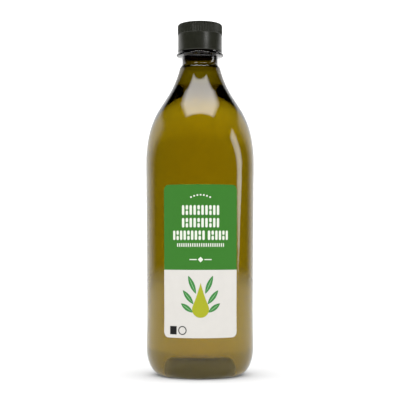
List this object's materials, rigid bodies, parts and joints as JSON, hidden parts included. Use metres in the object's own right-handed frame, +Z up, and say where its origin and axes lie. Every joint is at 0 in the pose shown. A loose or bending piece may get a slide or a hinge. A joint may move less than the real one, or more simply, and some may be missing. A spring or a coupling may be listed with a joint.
{
  "type": "olive oil bottle",
  "caption": "Full round bottle of olive oil in olive-tinted plastic, with a support ring on the neck, a ribbed black screw cap and a plain green and pale label wrapped round its front.",
  "frame": {"origin": "centre of the base, on the surface the bottle stands on", "axes": "+Z up the bottle's axis to the cap, -Y towards the middle of the label, +X to the right of someone who faces the label"},
  "size_m": [0.0822, 0.0822, 0.2665],
  "materials": {
    "tinted_plastic": "clear blown plastic tinted olive green, glossy, darkest in the thick neck and base",
    "olive_oil": "clear golden olive oil",
    "black_plastic": "satin near-black moulded plastic with fine vertical ribs round the top",
    "label_print": "smooth printed film, mid green above and off-white below"
  },
  "bodies": {
    "root": {"bottle": "tinted_plastic", "oil": "olive_oil", "cap": "black_plastic", "label": "label_print"}
  },
  "joints": []
}
